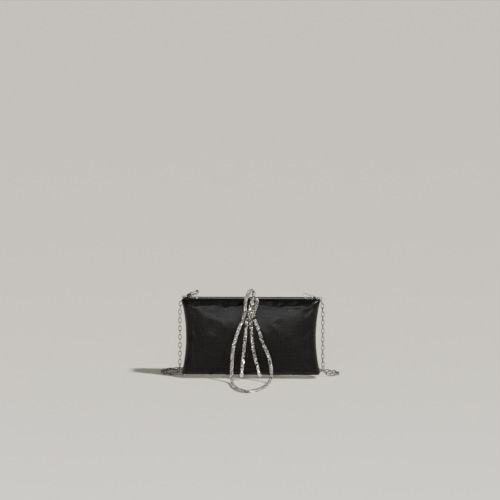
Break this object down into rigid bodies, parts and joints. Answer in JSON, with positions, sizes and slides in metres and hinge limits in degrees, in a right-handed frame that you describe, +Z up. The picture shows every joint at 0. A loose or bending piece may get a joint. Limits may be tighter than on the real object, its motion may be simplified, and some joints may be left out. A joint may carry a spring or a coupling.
{
  "type": "evening bag",
  "caption": "Satin evening bag with a hard chromed frame, kiss-lock clasp, shoulder chain on lobster claws and a rhinestone wrist loop tied in a bow.",
  "frame": {"origin": "middle of the bottom rail, on the surface the closed bag stands on", "axes": "+X to the viewer's right along the bag's width, +Y from the front panel with the bow towards the rear panel, +Z up"},
  "size_m": [0.2621, 0.2021, 0.1313],
  "materials": {
    "chrome": "polished silver-tone plating",
    "chain": "polished silver-tone plating",
    "satin": "black duchess satin, soft sheen",
    "padding": "soft foam wadding",
    "shell": "moulded board",
    "lining": "black lining cloth",
    "rope": "rope covered in clear rhinestones",
    "ribbon": "narrow woven ribbon"
  },
  "bodies": {
    "rear_half": {"rear_hoop": "chrome", "rear_hinge_leaf": "chrome", "rear_clasp_post": "chrome", "hinge_pin": "chrome", "left_chain_post": "chrome", "right_chain_post": "chrome", "rear_shell": "shell", "rear_padding": "padding", "rear_satin_cover": "satin", "rear_lining_tray": "lining", "slip_pocket": "lining", "left_gusset": "lining", "right_gusset": "lining", "shoulder_chain_left": "chain", "shoulder_chain_right": "chain", "shoulder_chain_hank": "chain", "hank_tie": "ribbon", "left_claw_body": "chrome", "left_claw_pin": "chrome", "left_claw_spring": "chrome", "left_swivel": "chrome", "right_claw_body": "chrome", "right_claw_pin": "chrome", "right_claw_spring": "chrome", "right_swivel": "chrome"},
    "front_half": {"front_hoop": "chrome", "front_hinge_leaf": "chrome", "front_shell": "shell", "front_padding": "padding", "front_satin_cover": "satin", "front_lining_tray": "lining", "front_clasp_post": "chrome", "bow_knot": "rope", "wrist_loop": "rope", "bow_tall_ear": "rope", "bow_short_ear": "rope", "bow_left_tail": "rope", "bow_right_tail": "rope", "left_tail_cap": "chrome", "right_tail_cap": "chrome"},
    "left_trigger": {"left_claw_trigger": "chrome"},
    "right_trigger": {"right_claw_trigger": "chrome"}
  },
  "joints": [
    {"name": "case_hinge", "type": "hinge", "parent": "rear_half", "child": "front_half", "pos_m": [0, 0, 0.0016], "axis": [1, 0, 0], "range_deg": [0, 48], "deforming": ["left_gusset", "right_gusset"]},
    {"name": "left_claw_trigger_pivot", "type": "hinge", "parent": "rear_half", "child": "left_trigger", "pos_m": [-0.08924, 0.006, 0.11922], "axis": [0.287, 0.6428, -0.7103], "range_deg": [0, 20], "stiffness_Nm_per_rad": 0.005, "springref_deg": -11.46},
    {"name": "right_claw_trigger_pivot", "type": "hinge", "parent": "rear_half", "child": "right_trigger", "pos_m": [0.09119, 0.0045, 0.11658], "axis": [0.342, 0, 0.9397], "range_deg": [0, 20], "stiffness_Nm_per_rad": 0.005, "springref_deg": -11.46}
  ]
}
